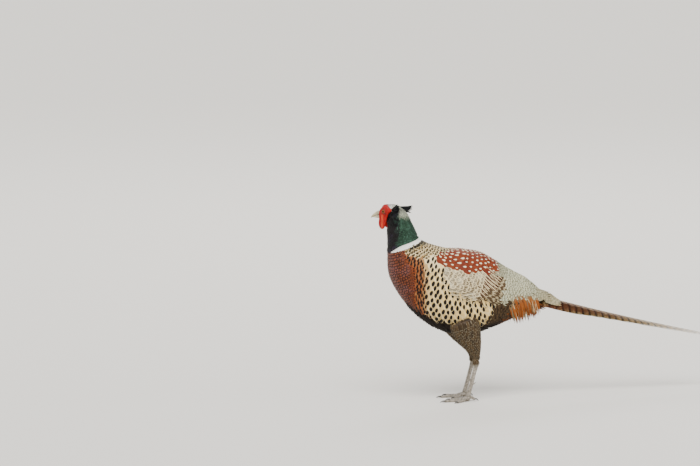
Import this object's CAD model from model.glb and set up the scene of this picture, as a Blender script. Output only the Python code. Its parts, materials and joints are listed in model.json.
"""The looks of a cock common pheasant at life size: skin, plumage, face, bill, eyes, legs and stage.

The trunk is the same form as in the part's source. A place on it is a section number t, an angle
round the spine in degrees and a height in millimetres. Feathers are closed vanes in staggered
rows. Each has vane coordinates for its markings and two traits, a random seed and a blend.
"""

import json
import math

import bpy
import numpy as np
from bpy.props import FloatProperty, FloatVectorProperty, IntProperty, PointerProperty
from bpy.types import Operator, Panel, PropertyGroup
from mathutils import Matrix, Vector
from mathutils.bvhtree import BVHTree
from mathutils.kdtree import KDTree

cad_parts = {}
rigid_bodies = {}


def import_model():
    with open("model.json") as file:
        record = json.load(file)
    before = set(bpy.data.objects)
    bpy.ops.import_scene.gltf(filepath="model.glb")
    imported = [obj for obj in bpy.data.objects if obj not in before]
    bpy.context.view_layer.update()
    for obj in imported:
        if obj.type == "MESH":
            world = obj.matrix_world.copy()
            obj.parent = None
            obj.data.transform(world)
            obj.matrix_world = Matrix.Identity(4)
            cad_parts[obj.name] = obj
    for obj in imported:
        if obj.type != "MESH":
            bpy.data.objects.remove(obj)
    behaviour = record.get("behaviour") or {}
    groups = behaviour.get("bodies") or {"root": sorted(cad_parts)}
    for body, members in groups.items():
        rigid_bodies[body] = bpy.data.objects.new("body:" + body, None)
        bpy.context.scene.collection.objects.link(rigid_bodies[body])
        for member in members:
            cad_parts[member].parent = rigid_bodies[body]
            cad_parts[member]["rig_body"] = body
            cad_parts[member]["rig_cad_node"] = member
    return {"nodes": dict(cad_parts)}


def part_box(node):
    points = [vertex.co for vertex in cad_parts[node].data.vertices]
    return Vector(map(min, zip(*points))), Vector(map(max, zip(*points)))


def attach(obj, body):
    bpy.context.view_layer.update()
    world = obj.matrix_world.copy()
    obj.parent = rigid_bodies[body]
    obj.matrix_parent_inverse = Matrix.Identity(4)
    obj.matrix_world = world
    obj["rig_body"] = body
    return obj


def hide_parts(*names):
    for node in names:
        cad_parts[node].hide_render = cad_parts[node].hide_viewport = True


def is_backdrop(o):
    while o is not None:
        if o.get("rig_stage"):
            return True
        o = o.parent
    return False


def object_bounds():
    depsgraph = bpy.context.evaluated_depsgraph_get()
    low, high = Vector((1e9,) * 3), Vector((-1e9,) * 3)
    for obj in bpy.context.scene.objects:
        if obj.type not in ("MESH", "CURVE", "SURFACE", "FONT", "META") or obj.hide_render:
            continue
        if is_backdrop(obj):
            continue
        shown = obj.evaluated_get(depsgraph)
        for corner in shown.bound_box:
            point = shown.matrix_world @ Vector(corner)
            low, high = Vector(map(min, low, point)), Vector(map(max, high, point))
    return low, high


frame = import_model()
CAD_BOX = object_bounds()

bl_info = {
    "name": "Common pheasant looks",
    "version": (1, 0, 0),
    "blender": (4, 5, 0),
    "location": "View3D > Sidebar > Pheasant",
    "description": "Builds the skin, plumage, face and legs of a life-size cock pheasant",
    "category": "Object",
}

MM = 0.001
BODY = "root"
SIDES = {"left": -1, "right": 1}

# Sections of the trunk from the nape to the tail, in millimetres: centre x and z, slope of the
# spine below the horizontal in degrees, half width and half depth.
TRUNK = np.array(
    [
        (-134, 402, 88, 9, 10),
        (-134, 391, 87, 18, 19),
        (-133, 379, 85, 22.5, 23.5),
        (-131, 363, 80, 26.5, 27.5),
        (-127, 345, 75, 29.5, 31),
        (-122.5, 326, 70, 34, 36),
        (-102, 292, 58, 49, 58),
        (-67, 260, 43, 58, 74),
        (-30, 237, 30, 60.5, 84),
        (10, 222, 23, 61, 87.5),
        (48, 212, 20, 58, 80),
        (86, 208, 20, 53, 64),
        (122, 207, 20, 42, 47),
        (150, 205, 18, 29, 31),
        (172, 202, 17, 20, 19),
        (196, 195.5, 16.5, 22.5, 17),
        (226, 187, 16, 25, 15),
    ],
    float,
)
LAST = len(TRUNK) - 1
COLLAR_FOOT = 5.0  # section where the white collar ends

HEAD_AT = np.array((-149.3, 23.7, 395.8))  # midway between the eyes, before the part was centred
HEAD_TURN = 58  # degrees, to the bird's right
HEAD_NOD = 8  # degrees, bill downwards
EYE_RADIUS = 5.6
EYE_SPREAD = 10.9
EYE_MIDDLE = sum((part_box(n)[0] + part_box(n)[1] for n in ("eye_left", "eye_right")), Vector()) / 4
SHIFT = np.array((EYE_MIDDLE.x / MM - HEAD_AT[0], 0, 0))  # the part's centring

# The head by x behind the eyes: x, height of the middle, half width and half depth.
SKULL = np.array(
    [
        (-24, -5.5, 6, 7),
        (-16, -4, 8.6, 10.2),
        (-7, -2.5, 10.8, 13.4),
        (3, -2, 13, 15.6),
        (14, -3, 16.8, 16.6),
        (25, -5.6, 17.6, 15.8),
        (34, -9, 13.6, 12.5),
        (39.5, -11, 7, 7),
    ],
    float,
)
# Outline of the red face skin on one side: x behind and z above the eye.
WATTLE = np.array(
    [
        (-15.5, 1),
        (-12.5, 9),
        (-5, 13.8),
        (3.5, 12.8),
        (12, 8.8),
        (22.5, 1),
        (16, -4.5),
        (9.5, -10),
        (4.8, -18.5),
        (-1.8, -31),
        (-9.5, -36),
        (-17.9, -32.5),
        (-21, -25),
        (-18.6, -15),
    ],
    float,
)
WATTLE_SPOKES = 132
WATTLE_TURNS = 22
FOLD_LINE = ([-34, -20, -5, 5], [-9, -6.5, -5, -8])  # heights, and x of the wattle's fold there
EAR_ROOT = np.array((26, 13.2, 3.4))
EAR_TUFTS = {"left": (18, 5, 3), "right": (17, 15, -6)}  # reach behind, aside and above
NOSTRIL = (-23.6, -2.2)

# Tail feathers from the middle pair outwards, as shares of the longest, and their widths by share
TAIL_LENGTH = 415
TAIL_ROOT = 14.1
TAIL_PAIRS = (1, 0.9, 0.76, 0.63, 0.51, 0.41, 0.33, 0.27, 0.22)
TAIL_FORM = np.array([(0, 0.45), (0.14, 1), (0.4, 0.92), (0.66, 0.7), (0.88, 0.38), (1, 0.06)])

# Thighs and scales of the legs
HEEL = 84  # height where the thigh's feathers end
THIGH_WAY = (0.34, 0, -0.94)  # down the thigh
SHANK_PLATE = 3.1
TOE_PLATE = 2.5
GROOVE_WIDTH = 0.11  # as a share of a plate
GROOVE_DEPTH = 0.00028  # metres
SOLE = 0.00002  # metres above the floor

# The camera looks at the photo's middle, from the photo's side.
CAMERA_AIM = (-0.4417, 0, 0.3565)
CAMERA_AZIMUTH = -20
CAMERA_RISE = 7
CAMERA_AWAY = 15
CAMERA_LENS = 376.3
LAMP_AIM = (-0.1, 0, 0.22)

# Tones of shades and glints, as linear red, green and blue
BLACK = (0.0, 0.0, 0.0)
BARB_BLACK = (0.004, 0.004, 0.004)
SOOT = (0.006, 0.008, 0.008)
TUFT_BLACK = (0.006, 0.007, 0.008)
PUPIL = (0.002, 0.002, 0.002)
SKIN_SHADE = (0.02, 0.012, 0.01)
FEATHER_SHADE = (0.16, 0.1, 0.05)
COLLAR_SHADE = (0.55, 0.5, 0.42)
TAIL_SHADE = (0.02, 0.014, 0.008)
VIOLET = (0.035, 0.022, 0.05)
BREAST_VIOLET = (0.16, 0.075, 0.08)
BREAST_PINK = (0.2, 0.1, 0.09)
DROP_CREAM = (0.76, 0.65, 0.44)
WATTLE_PIT = (0.16, 0.004, 0.003)
WATTLE_RIDGE = (0.9, 0.13, 0.03)
WATTLE_PATCH = (0.05, 0.004, 0.004)
IRIS_EDGE = (0.3, 0.1, 0.015)
IRIS_RIM = (0.03, 0.01, 0.006)
LID_PIT = (0.3, 0.05, 0.03)
LID_KNOB = (0.08, 0.008, 0.006)
BILL_GRAIN = (0.3, 0.26, 0.18)
BILL_BASE = (0.16, 0.14, 0.11)
HORN_SHADE = (0.03, 0.025, 0.02)
SCALE_PALE = (0.42, 0.37, 0.3)
SCALE_EDGE = (0.09, 0.075, 0.06)
SCALE_GROOVE = (0.07, 0.055, 0.045)
FLOOR_SHADE = (0.7, 0.69, 0.67)
SKY = (0.93, 0.94, 0.96, 1)


def rgb(code):
    """A hexadecimal screen colour as linear red, green and blue."""
    channels = [(code >> shift & 255) / 255 for shift in (16, 8, 0)]
    return tuple(c / 12.92 if c <= 0.04045 else ((c + 0.055) / 1.055) ** 2.4 for c in channels)


def colour(name, code):
    """A paint tone for a tone seen in the photo, which the studio light would lift."""
    tone = [value * (0.3 + 0.7 * value) for value in rgb(code)]
    return FloatVectorProperty(
        name=name, description=f"Colour of the {name.lower()}", subtype="COLOR", default=tone
    )


def length(name, description, default):
    return FloatProperty(name=name, description=description, default=default, unit="LENGTH")


class PheasantSizes(PropertyGroup):
    coat_depth: length("Coat depth", "How far the skin lies inside the coat's outer form", 0.0016)
    skin_voxel: length("Skin detail", "Cell size of the skin's mesh", 0.0022)
    face_spacing: length("Face spacing", "Distance between the smallest feathers of the head", 0.0019)
    body_spacing: length("Body spacing", "Measure for the feathers of the mantle and breast", 0.0056)
    seed: IntProperty(name="Seed", description="Seed of every random draw", default=7)


class PheasantColours(PropertyGroup):
    crown: colour("Crown", 0xC8CAB8)
    cheek: colour("Cheek", 0x15100F)
    throat: colour("Throat", 0x2E2226)
    neck: colour("Neck", 0x42604C)
    neck_gloss: colour("Neck gloss", 0x6A8C7C)
    collar: colour("Collar", 0xF6F4EE)
    gold: colour("Mantle", 0xE4C88C)
    cream: colour("Cream", 0xF4E8C8)
    black: colour("Black markings", 0x1C130C)
    breast: colour("Breast", 0x7E503A)
    breast_edge: colour("Breast feather edges", 0x2B1216)
    copper: colour("Copper", 0xB46A2E)
    flank: colour("Flank", 0xEBD5A0)
    belly: colour("Belly", 0x30241A)
    chestnut: colour("Scapulars", 0x8E4024)
    covert: colour("Wing coverts", 0xD6D0BC)
    flight: colour("Flight feathers", 0x786448)
    maroon: colour("Covert edges", 0x7C3828)
    rump: colour("Rump", 0xD2D2BE)
    rump_bar: colour("Rump bars", 0x9E9C80)
    rufous: colour("Rufous tufts", 0xBC8238)
    tail: colour("Tail", 0xA48A55)
    tail_fringe: colour("Tail fringe", 0x8C4E33)
    wattle: colour("Wattle", 0xC41402)
    iris: colour("Iris", 0x9A4E10)
    bill: colour("Bill", 0xD8CFB4)
    horn: colour("Claws", 0x53493C)
    shank: colour("Shank", 0x968D7E)
    floor: colour("Floor", 0xE9E6E0)


def choices(scene):
    """The sizes and the colours that the panel shows."""
    return scene.pheasant_sizes, scene.pheasant_colours


# Places on the trunk and the head


def smooth(x):
    """0 below 0 and 1 above 1, with a soft rise between them."""
    x = np.clip(x, 0, 1)
    return x * x * (3 - 2 * x)


def mix(a, b, share):
    """Colours between a and b, by each feather's share of b."""
    share = np.asarray(share)[..., None]
    return np.asarray(a) * (1 - share) + np.asarray(b) * share


def unit(v):
    return v / np.maximum(np.linalg.norm(v, axis=-1, keepdims=True), 1e-9)


def spline(table, t):
    """Smooth values through the rows of a table, at row numbers t."""
    rows = np.vstack([2 * table[0] - table[1], table, 2 * table[-1] - table[-2]])
    t = np.clip(t, 0, len(table) - 1)
    i = np.minimum(t.astype(int), len(table) - 2)
    w = (t - i)[..., None]
    a, b, c, d = rows[i], rows[i + 1], rows[i + 2], rows[i + 3]
    return 0.5 * (2 * b + (c - a) * w + (2 * a - 5 * b + 4 * c - d) * w**2 + (3 * (b - c) + d - a) * w**3)


def from_spine(angle):
    """Degrees from the spine on either side, 0 to 180."""
    return np.abs((np.asarray(angle) + 180) % 360 - 180)


def on_trunk(t, angle, height=0.0):
    """Places off the trunk in millimetres. Angles are from the spine, positive on the right."""
    x, z, slope, width, depth = np.moveaxis(spline(TRUNK, np.asarray(t, float)), -1, 0)
    slope, turn = np.radians(slope), np.radians(angle)
    back = (depth + height) * np.cos(turn)
    side = (width + height) * np.sin(turn)
    return np.stack([x + np.sin(slope) * back, side, z + np.cos(slope) * back], -1) + SHIFT


HEAD_MATRIX = (
    Matrix.Rotation(math.radians(-HEAD_TURN), 3, "Z") @ Matrix.Rotation(math.radians(-HEAD_NOD), 3, "Y")
)
HEAD_AXES = np.array(HEAD_MATRIX)


def from_head(points):
    """Head coordinates, x behind, y right and z up from between the eyes, to row millimetres."""
    return np.asarray(points, float) @ HEAD_AXES.T + HEAD_AT + SHIFT


def to_head(points):
    return (np.asarray(points, float) - HEAD_AT - SHIFT) @ HEAD_AXES


def neck_angle(points):
    """Angle round the neck from its back, positive on the right."""
    return np.degrees(np.arctan2(points[:, 1], points[:, 0] - SHIFT[0] + 130))


def face_width(x, z):
    """Half width of the face. Below the cheek the face skin hangs free."""
    middle, width, depth = (np.interp(x, SKULL[:, 0], SKULL[:, i]) for i in (1, 2, 3))
    cheek = middle - 0.4 * depth
    rise = (np.maximum(z, cheek) - middle) / depth
    return width * np.sqrt(np.maximum(0.05, 1 - rise**2)) + 0.07 * np.maximum(0, cheek - z)


def wattle_edge(share):
    """The closed outline of the face skin at shares 0 to 1 of the way round it."""
    return spline(np.vstack([WATTLE[-2:], WATTLE, WATTLE[:3]]), share * len(WATTLE) + 2)


def collar_top(angle):
    """The section where the white collar starts, by angle round the neck."""
    side = np.sin(np.radians(angle)) ** 2
    return COLLAR_FOOT - 0.06 - (0.32 + 0.06 * side) * smooth((180 - np.abs(angle)) / 75)


# Height of the folded wing and the scapulars over the trunk, by degrees from the spine
COVER_ANGLES = [0, 9, 16, 30, 42, 50, 62, 88, 97, 99]
COVER_HEIGHTS = [2.2, 3.0, 4.8, 8.2, 10.4, 10.4, 11.6, 11.2, 1.5, 0]
COVER_TOP = 8.8  # section where the cover starts to fall towards the tail


def cover(t, angle):
    a = from_spine(angle)
    across = np.interp(a, COVER_ANGLES, COVER_HEIGHTS)
    front = np.interp(a, [13, 41, 60], [6.6, 6.7, 7.1])
    end = np.interp(a, [13, 45, 60], [10.5, 11.0, 11.6])
    rise = smooth((t - front) / 0.95)
    fall = 1 - np.clip((t - COVER_TOP) / (end - COVER_TOP), 0, 1) ** 1.4
    return across * rise * fall


# Borders between the kinds of feather, as degrees from the spine by section


def mantle_limit(t):
    return np.interp(t, [4.9, 5.35, 5.9, 6.2, 6.7, 7.1], [100, 112, 82, 62, 36, 20])


def breast_limit(t):
    return np.interp(t, [4.9, 5.4, 6.0, 6.35, 6.7, 7.3, 7.7], [104, 113, 108, 116, 130, 158, 176])


def belly_limit(t):
    return np.interp(t, [7.0, 7.4, 8, 9, 10, 11.5], [181, 163, 152, 143, 136, 128])


def scapular_limit(t):
    return np.interp(t, [6.1, 6.5, 7.2, 8.5, 9.6, 10.2], [58, 62, 62, 62, 56, 50])


def scapular_start(a):
    """The other way round: the section where the scapulars start, by degrees from the spine."""
    return np.interp(a, [0, 20, 40, 58], [7.0, 6.75, 6.4, 6.15])


def wing_front(t):
    """The front edge of the folded wing."""
    return 58 + (t - 6.15) * 21


# Materials

TURN = 6.283


class Value:
    """A shader socket in an expression. The operators add Math nodes."""

    def __init__(self, finish, socket):
        self.finish = finish
        self.socket = socket

    def math(self, operation, *others):
        return self.finish.node("ShaderNodeMath", {"operation": operation}, [self, *others])

    def __add__(self, other):
        return self.math("ADD", other)

    def __sub__(self, other):
        return self.math("SUBTRACT", other)

    def __mul__(self, other):
        return self.math("MULTIPLY", other)

    def __truediv__(self, other):
        return self.math("DIVIDE", other)

    def __pow__(self, other):
        return self.math("POWER", other)

    def __rsub__(self, other):
        return self.finish.node("ShaderNodeMath", {"operation": "SUBTRACT"}, [other, self])

    def __gt__(self, other):
        return self.math("GREATER_THAN", other)

    def __abs__(self):
        return self.math("ABSOLUTE")

    __radd__ = __add__
    __rmul__ = __mul__

    def wave(self):
        """A sine, which repeats with each whole number."""
        return (self * TURN).math("SINE")

    def part(self, axis):
        return self.finish.node("ShaderNodeSeparateXYZ", {}, [self], axis)

    def ramp(self, low, high):
        """0 below low and 1 above high, smoothly. It falls where low is above high."""
        if low > high:
            return 1 - self.ramp(high, low)
        settings = {"interpolation_type": "SMOOTHSTEP", "clamp": True}
        return self.finish.node("ShaderNodeMapRange", settings, {0: self, 1: low, 2: high})


class Finish:
    """The nodes of one material."""

    def __init__(self, name, roughness=0.6, **constants):
        self.material = bpy.data.materials.new(name)
        self.material.use_nodes = True
        self.tree = self.material.node_tree
        self.shader = self.tree.nodes["Principled BSDF"]
        self.shader.inputs["Roughness"].default_value = roughness
        for socket in self.shader.inputs:
            title = socket.name.lower().replace(" ", "_")
            if title in constants:
                socket.default_value = constants[title]

    def node(self, kind, settings=None, inputs=(), output=0):
        made = self.tree.nodes.new(kind)
        for name, value in (settings or {}).items():
            setattr(made, name, value)
        pairs = inputs.items() if isinstance(inputs, dict) else enumerate(inputs)
        for key, value in pairs:
            self.feed(made.inputs[key], value)
        return Value(self, made.outputs[output])

    def feed(self, socket, value):
        if isinstance(value, Value):
            self.tree.links.new(value.socket, socket)
        elif socket.type == "RGBA":
            socket.default_value = (*value[:3], 1)
        else:
            socket.default_value = value

    def mix(self, factor, first, second, blend="MIX"):
        """A colour between two colours."""
        settings = {"data_type": "RGBA", "blend_type": blend}
        return self.node("ShaderNodeMix", settings, {0: factor, 6: first, 7: second}, 2)

    def attribute(self, name, output=2):
        return self.node("ShaderNodeAttribute", {"attribute_name": name}, output=output)

    def hue(self):
        """The ground colour that the mesh carries."""
        return self.attribute("hue", 0)

    def place(self):
        return self.node("ShaderNodeTexCoord", output="Object")

    def noise(self, scale, detail=2.0):
        inputs = {"Scale": scale, "Detail": detail, "Vector": self.place()}
        return self.node("ShaderNodeTexNoise", {}, inputs)

    def cells(self, scale, feature="F1"):
        inputs = {"Scale": scale, "Vector": self.place()}
        return self.node("ShaderNodeTexVoronoi", {"feature": feature}, inputs)

    def paint(self, base, roughness=None, metallic=None):
        self.feed(self.shader.inputs["Base Color"], base)
        if roughness is not None:
            self.feed(self.shader.inputs["Roughness"], roughness)
        if metallic is not None:
            self.feed(self.shader.inputs["Metallic"], metallic)

    def bump(self, height, distance):
        """Relief, with its distance in metres."""
        normal = self.node("ShaderNodeBump", {}, {"Strength": 1.0, "Distance": distance, "Height": height})
        self.feed(self.shader.inputs["Normal"], normal)


class Vane:
    """The vane coordinates of a feather's finish, and the masks of its markings."""

    def __init__(self, finish):
        self.finish = finish
        place = finish.node("ShaderNodeUVMap", {"uv_map": "Vane"})
        self.x = place.part(0) * 2 - 1  # -1 to 1 across, true to the outline
        self.v = place.part(1)  # 0 at the root and 1 at the tip
        self.seed = finish.attribute("seed")
        self.blend = finish.attribute("blend")
        self.side = abs(self.x)

    def edge(self, width, start=0.55):
        """The band along the outline, wide as a share of the half width."""
        reach = ((self.v - start) / (1 - start)).math("MAXIMUM", 0.0)
        radius = (self.side**2 + reach**2).math("SQRT")
        return radius.ramp(1 - width, 1 - 0.55 * width)

    def spot(self, at, across, along, soft=0.2):
        """An oval in the middle of the vane."""
        radius = ((self.x / across) ** 2 + ((self.v - at) / along) ** 2).math("SQRT")
        return radius.ramp(1 + soft, 1 - soft)

    def drop(self, at, across, along):
        """A drop that is pointed towards the root."""
        reach = (self.v - at) / along
        width = (reach * 0.38 + 0.62).math("MAXIMUM", 0.08)
        radius = ((self.x / (width * across)) ** 2 + reach**2).math("SQRT")
        return radius.ramp(1.2, 0.8)

    def shaft(self, width=0.05):
        return self.side.ramp(width, width * 0.4)

    def barbs(self, count, slant=5.0):
        """Fine lines from the shaft outwards and to the tip."""
        return (self.v * count - self.side * slant).wave() * 0.5 + 0.5

    def bars(self, count, share, wobble=0.25, slant=0.0):
        """Dark bars across the vane, each a share of the step between them."""
        phase = self.v * count - self.side * slant + self.finish.noise(90.0) * wobble * 2 + self.seed
        return phase.wave().ramp(1 - 2 * share - 0.25, 1 - 2 * share + 0.25)


def gloss_finish(name, colours):
    """Glossy neck plumage: dark ground, green and violet gloss and fine barbs."""
    finish = Finish(name, 0.42, specular_ior_level=0.12)
    vane = Vane(finish)
    patchy = finish.noise(120.0, 3.0)
    tone = (vane.seed * 0.5 + patchy * 0.9).ramp(0.3, 1.1)
    ground = finish.mix(tone * 0.45, finish.hue(), colours.neck_gloss, "SCREEN")
    ground = finish.mix(vane.blend * tone, finish.hue(), ground)
    glint = finish.noise(70.0).ramp(0.5, 0.68) * (1 - vane.blend)
    ground = finish.mix(glint * 0.5, ground, VIOLET)
    ground = finish.mix(vane.edge(0.35) * 0.55, ground, SOOT)
    barbs = vane.barbs(20.0)
    ground = finish.mix(barbs * 0.18, ground, BARB_BLACK)
    finish.paint(ground, 0.4 + 0.3 * barbs, 0.3 * vane.blend)
    finish.bump(barbs + vane.shaft(0.1) * 0.6, 0.00012)
    return finish


def marked_finish(name, roughness=0.62):
    """The ground of a body feather: its own colour, lighter or darker by feather and patch."""
    finish = Finish(name, roughness, specular_ior_level=0.15)
    vane = Vane(finish)
    shade = vane.seed * 0.24 + finish.noise(160.0, 3.0) * 0.2
    ground = finish.mix(shade, finish.hue(), FEATHER_SHADE, "MULTIPLY")
    return finish, vane, finish.mix(0.7, ground, finish.hue())


def textured(finish, vane, ground, count=26.0, strength=0.14):
    """Paints a body feather and adds its barbs and shaft."""
    barbs = vane.barbs(count)
    finish.paint(finish.mix(barbs * strength, ground, finish.mix(0.6, ground, BLACK)))
    finish.bump(barbs * 0.6 + vane.shaft(0.08), 0.00016)


# Meshes


def vertices_of(mesh):
    """All places, in metres."""
    points = np.empty(len(mesh.vertices) * 3, np.float32)
    mesh.vertices.foreach_get("co", points)
    return points.reshape(-1, 3).astype(float)


def move_vertices(mesh, points):
    """Sets all places, in metres."""
    mesh.vertices.foreach_set("co", points.astype(np.float32).ravel())
    mesh.update()


def mesh_of(name, points, quads):
    """A smooth mesh from points in row millimetres and four-sided faces."""
    mesh = bpy.data.meshes.new(name)
    mesh.vertices.add(len(points))
    mesh.vertices.foreach_set("co", (points * MM).astype(np.float32).ravel())
    mesh.loops.add(len(quads) * 4)
    mesh.loops.foreach_set("vertex_index", quads.astype(np.int32).ravel())
    mesh.polygons.add(len(quads))
    mesh.polygons.foreach_set("loop_start", np.arange(0, len(quads) * 4, 4, dtype=np.int32))
    mesh.update(calc_edges=True)
    mesh.polygons.foreach_set("use_smooth", np.ones(len(quads), bool))
    return mesh


def add_trait(mesh, title, values):
    """Keeps one number for each vertex, for the finish."""
    layer = mesh.attributes.new(title, "FLOAT", "POINT")
    layer.data.foreach_set("value", values.astype(np.float32))


def add_hue(mesh, hues):
    """Keeps one ground colour for each vertex, for the finish."""
    layer = mesh.attributes.new("hue", "FLOAT_COLOR", "POINT")
    values = np.column_stack([hues, np.ones(len(hues))]).astype(np.float32)
    layer.data.foreach_set("color", values.ravel())


def settle(piece, finish, slot, *nodes):
    """Gives a finished piece its material, body, slot and the nodes that it stands for."""
    piece.data.materials.clear()
    piece.data.materials.append(finish.material)
    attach(piece, BODY)
    if nodes:
        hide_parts(*nodes)


def place_piece(mesh, finish, slot, *nodes):
    piece = bpy.data.objects.new(mesh.name, mesh)
    bpy.context.scene.collection.objects.link(piece)
    settle(piece, finish, slot, *nodes)


def primitive_at(name, matrix):
    """Finishes the primitive just added: named, smooth and placed in its own mesh."""
    piece = bpy.context.active_object
    piece.name = piece.data.name = name
    piece.data.transform(matrix)
    bpy.ops.object.shade_smooth()
    return piece


def head_place(x, y, z, turn):
    """A matrix in metres for a primitive that is modelled at the origin in millimetres."""
    matrix = (HEAD_MATRIX @ turn).to_4x4() @ Matrix.Scale(MM, 4)
    matrix.translation = Vector(from_head((x, y, z))) * MM
    return matrix


def copy_nodes(name, *nodes):
    """One merged copy of CAD nodes, as a piece of its own."""
    bpy.ops.object.select_all(action="DESELECT")
    for node in nodes:
        frame["nodes"][node].hide_set(False)
        frame["nodes"][node].hide_viewport = False
        frame["nodes"][node].select_set(True)
    bpy.context.view_layer.objects.active = frame["nodes"][nodes[0]]
    bpy.ops.object.duplicate()
    bpy.ops.object.join()
    piece = bpy.context.active_object
    piece.name = piece.data.name = name
    piece.parent = None
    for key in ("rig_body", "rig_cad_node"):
        del piece[key]
    bpy.ops.object.mode_set(mode="EDIT")
    bpy.ops.mesh.select_all(action="SELECT")
    bpy.ops.mesh.remove_doubles(threshold=0.00001)
    bpy.ops.object.mode_set(mode="OBJECT")
    return piece


def modify(piece, kind, **settings):
    """Adds one modifier and applies it."""
    bpy.ops.object.select_all(action="DESELECT")
    piece.select_set(True)
    bpy.context.view_layer.objects.active = piece
    modifier = piece.modifiers.new(kind, kind)
    for name, value in settings.items():
        setattr(modifier, name, value)
    bpy.ops.object.modifier_apply(modifier=modifier.name)


def remesh(piece, voxel, rounds, depth=0.0):
    """An even, softened skin over a closed form."""
    modify(piece, "REMESH", mode="VOXEL", voxel_size=voxel)
    modify(piece, "SMOOTH", factor=0.5, iterations=rounds)
    if depth:
        modify(piece, "DISPLACE", strength=-depth, mid_level=0.0)
    bpy.ops.object.shade_smooth()


# The skin, and the fields of small feathers that follow it

FLESH = ("head", "neck", "collar", "torso", "thigh_left", "thigh_right")
SURFACE = {}  # the skin's search tree, once it is made
HUES = []  # places and ground colours of all feathers, which the skin takes over
NEAREST_SKIN = 3.6


def scatter(node, spacing, draw, keep):
    """Evenly scattered places on a CAD node that show on the skin, in millimetres."""
    mesh = frame["nodes"][node].data
    mesh.calc_loop_triangles()
    corners = np.array([t.vertices[:] for t in mesh.loop_triangles])
    a, b, c = np.moveaxis(vertices_of(mesh)[corners] / MM, 1, 0)
    area = np.linalg.norm(np.cross(b - a, c - a), axis=1) / 2
    count = int(area.sum() / (0.16 * spacing(a).min() ** 2))
    chosen = draw.choice(len(area), count, p=area / area.sum())
    u, v = draw.random((2, count, 1))
    u, v = np.where(u + v > 1, 1 - u, u), np.where(u + v > 1, 1 - v, v)
    places = a[chosen] * (1 - u - v) + b[chosen] * u + c[chosen] * v
    places = places[keep(places)]
    near = [SURFACE["skin"].find_nearest(p)[3] for p in places]
    places = places[np.array(near) < NEAREST_SKIN]
    reach = spacing(places)
    cell = reach.max()
    grid, kept = {}, []
    for i, p in enumerate(places):
        x, y, z = (p // cell).astype(int)
        around = [
            j
            for dx in (-1, 0, 1)
            for dy in (-1, 0, 1)
            for dz in (-1, 0, 1)
            for j in grid.get((x + dx, y + dy, z + dz), ())
        ]
        if around and (((places[around] - p) ** 2).sum(1) < reach[i] ** 2).any():
            continue
        grid.setdefault((x, y, z), []).append(i)
        kept.append(i)
    return places[kept]


def walk(roots, heading, length, shares, low, high):
    """Vane frames that follow the skin from each root, along a field of directions."""
    length = np.broadcast_to(length, (len(roots),))[:, None]
    steps = np.diff(np.concatenate([[shares[0]], shares]))
    point = roots
    lines, normals = [], []
    for step in steps:
        target = point + heading(point) * length * step
        found = [SURFACE["skin"].find_nearest(p) for p in target]
        point = np.array([f[0] for f in found])
        lines.append(point)
        normals.append(np.array([f[1] for f in found]))
    line, out = np.stack(lines, 1), np.stack(normals, 1)
    along = np.gradient(line, axis=1)
    along = unit(along - out * (along * out).sum(-1, keepdims=True))
    level = low + (high - low) * np.asarray(shares)
    return line + out * level[None, :, None], np.cross(along, out), out


def inside(outline, points):
    """Whether points lie inside a closed outline."""
    found = np.zeros(len(points), bool)
    for (x0, z0), (x1, z1) in zip(outline, np.roll(outline, -1, axis=0)):
        crosses = (points[:, 1] < z0) != (points[:, 1] < z1)
        with np.errstate(divide="ignore", invalid="ignore"):
            at = x0 + (points[:, 1] - z0) * (x1 - x0) / (z1 - z0)
        found ^= crosses & (points[:, 0] < at)
    return found


def trunk_frame(t, a, h):
    """Places with the directions across and out, for vanes that lie along the trunk."""
    place = on_trunk(t, a, h)
    along = unit(on_trunk(t + 0.03, a, h) - on_trunk(t - 0.03, a, h))
    near_spine = np.abs(a) < 40
    right, left = (
        on_trunk(t, a + step, h + (cover(t, a + step) - cover(t, a)) * near_spine) for step in (4, -4)
    )
    flat = unit(right - left - along * ((right - left) * along).sum(-1, keepdims=True))
    out = unit(np.cross(along, flat))
    away = on_trunk(t, a, h + 1) - place
    out = np.where((out * away).sum(-1, keepdims=True) < 0, -out, out)
    return place, np.cross(along, out), out


# Feathers. A profile gives shares of the length and the widths there.

RING = np.array([-1, -0.55, 0, 0.55, 1, 0])  # five points over the vane and one under it
BODY_RISE = np.array([0, 0.4, 0.5, 0.4, 0, -0.5])  # as shares of the thickness
RAILS = (0, 4)  # the points on the outline
ROUND = ([0, 0.3, 0.58, 0.78, 0.91, 0.98, 1], [0.34, 0.8, 1, 0.93, 0.68, 0.34, 0.06])
SMALL = ([0, 0.45, 0.8, 0.96, 1], [0.4, 1, 0.86, 0.42, 0.08])
LANCE = ([0, 0.3, 0.6, 0.85, 1], [0.5, 1, 0.85, 0.5, 0.06])
FLIGHT = ([0, 0.2, 0.45, 0.68, 0.84, 0.94, 1], [0.4, 0.92, 1, 0.94, 0.74, 0.42, 0.06])


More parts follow.
